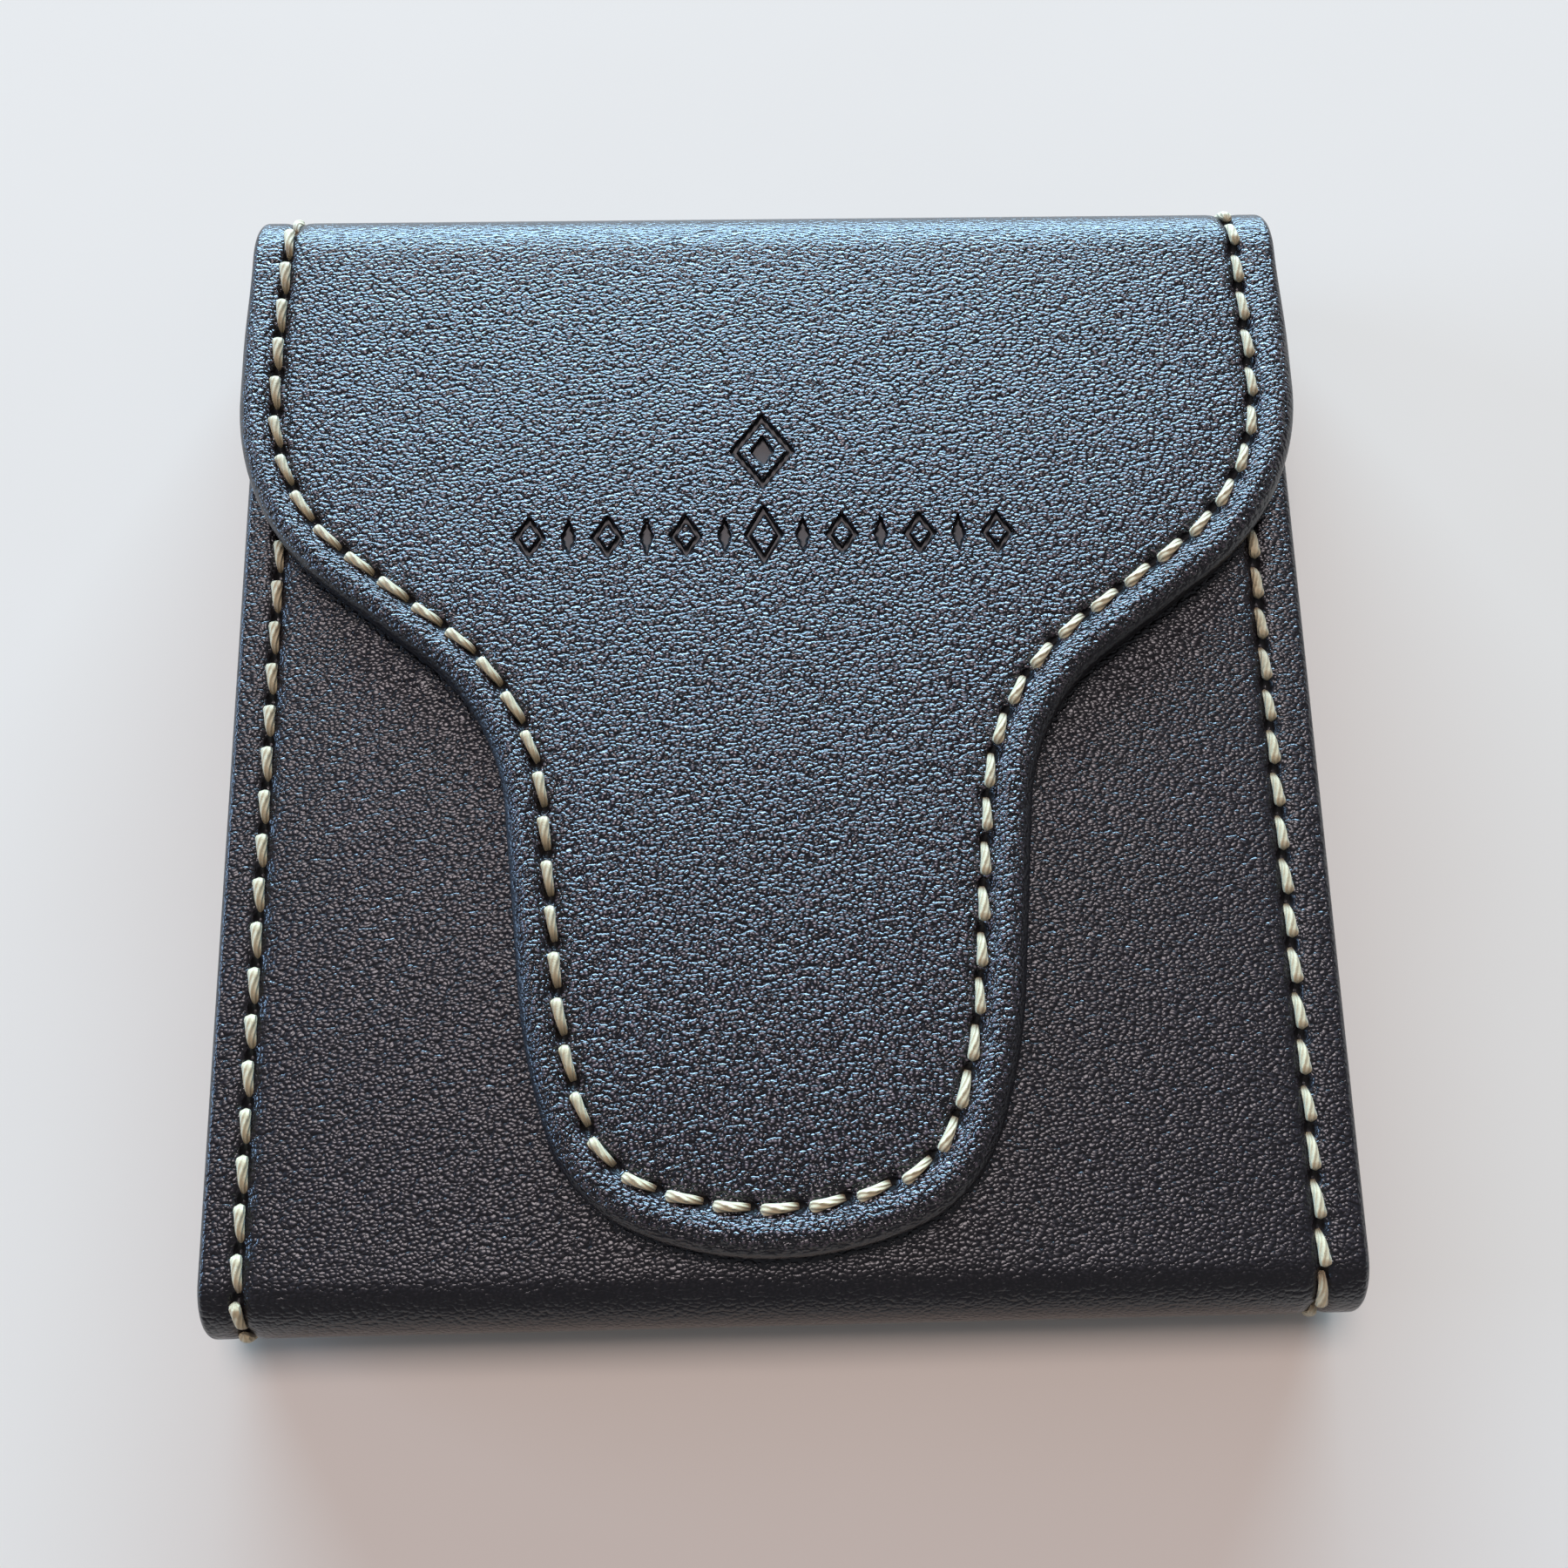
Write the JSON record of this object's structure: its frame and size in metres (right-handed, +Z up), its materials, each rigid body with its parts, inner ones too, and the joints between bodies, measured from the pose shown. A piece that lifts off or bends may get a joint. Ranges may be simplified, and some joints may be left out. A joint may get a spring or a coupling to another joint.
{
  "type": "flap-over leather money clip case",
  "caption": "Flat leather money clip case: stitched strip body with side gussets, shaped magnetic flap over the pocket, spring clip inside.",
  "frame": {"origin": "under the middle of the case, on the plane that the back panel rests on", "axes": "+Y from the bottom fold to the top fold, +Z up out of the flap's face, +X to the right of someone facing the flap"},
  "size_m": [0.099, 0.1044, 0.0131],
  "materials": {
    "leather": "fine pebble grain, satin",
    "lining": "brushed split leather, matte",
    "board": "pressed fibre stiffener, matte",
    "thread": "waxed twisted thread",
    "steel": "satin"
  },
  "bodies": {
    "case": {"case_cover": "leather", "case_lining": "lining", "front_board": "board", "back_board": "board", "left_gusset": "leather", "right_gusset": "leather", "front_keeper": "steel", "case_thread_left": "thread", "case_thread_right": "thread", "clip_base": "steel", "clip_rivet_left": "steel", "clip_rivet_right": "steel"},
    "fold": {"fold_cover": "leather", "fold_lining": "lining", "fold_thread_left": "thread", "fold_thread_right": "thread"},
    "flap": {"flap_cover": "leather", "flap_board": "board", "flap_lining": "lining", "flap_magnet": "steel", "flap_thread": "thread"},
    "clip_arm": {"clip_arm": "steel"}
  },
  "joints": [
    {"name": "fold_hinge", "type": "hinge", "parent": "case", "child": "fold", "pos_m": [0, 0.05048, 0.00172], "axis": [-1, 0, 0], "range_deg": [0, 90], "deforming": ["fold_cover", "fold_lining", "fold_thread_left", "fold_thread_right"]},
    {"name": "flap_hinge", "type": "hinge", "parent": "fold", "child": "flap", "pos_m": [0, 0.05048, 0.01138], "axis": [-1, 0, 0], "range_deg": [0, 90]},
    {"name": "clip_spring", "type": "hinge", "parent": "case", "child": "clip_arm", "pos_m": [0, -0.0343, 0.0037], "axis": [1, 0, 0], "range_deg": [0, 2], "stiffness_Nm_per_rad": 6, "springref_deg": -1.15}
  ],
  "couplings": [
    {"joint": "fold_hinge", "follows": "flap_hinge", "ratio": 1}
  ]
}
